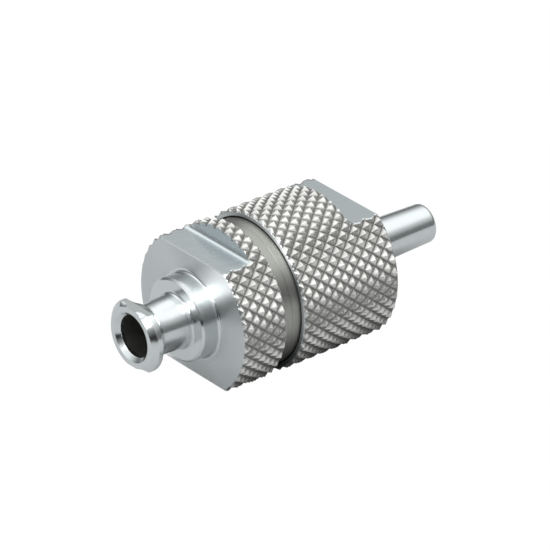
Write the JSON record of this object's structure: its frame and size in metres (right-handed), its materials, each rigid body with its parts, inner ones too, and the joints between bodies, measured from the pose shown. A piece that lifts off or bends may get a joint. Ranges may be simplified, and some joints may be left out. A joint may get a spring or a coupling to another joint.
{
  "type": "carbon dioxide diffuser",
  "caption": "In-line steel gas diffuser: a knurled cap with a female lock socket screws into a knurled cup with a tapered outlet tip and clamps a porous disc between seals.",
  "frame": {"origin": "on the housing's axis, halfway along the whole length", "axes": "+X along the axis from the inlet socket to the outlet tip, +Z square to one pair of wrench flats"},
  "size_m": [0.0368, 0.0164, 0.0164],
  "materials": {
    "cap_steel": "bright turned stainless steel with a diamond knurl",
    "body_steel": "bright turned stainless steel with a diamond knurl",
    "seal_rubber": "matt black moulded rubber",
    "porous_ceramic": "off-white porous sintered ceramic, stored as matte_plastic",
    "screen_steel": "etched stainless sheet",
    "gasket_white": "smooth white fluoropolymer"
  },
  "bodies": {
    "outlet_half": {"outlet_body": "body_steel", "flat_gasket": "gasket_white", "support_screen": "screen_steel", "diffuser_disc": "porous_ceramic"},
    "cap_travel": {"o_ring": "seal_rubber"},
    "inlet_half": {"inlet_cap": "cap_steel"}
  },
  "joints": [
    {"name": "cap_lift", "type": "slide", "parent": "outlet_half", "child": "cap_travel", "axis": [-1, 0, 0], "range_m": [0, 0.003]},
    {"name": "cap_unscrew", "type": "hinge", "parent": "cap_travel", "child": "inlet_half", "pos_m": [0, 0, 0], "axis": [-1, 0, 0], "range_deg": [0, 1083]}
  ],
  "couplings": [
    {"joint": "cap_unscrew", "follows": "cap_lift", "rad_per_m": 6283.2}
  ]
}
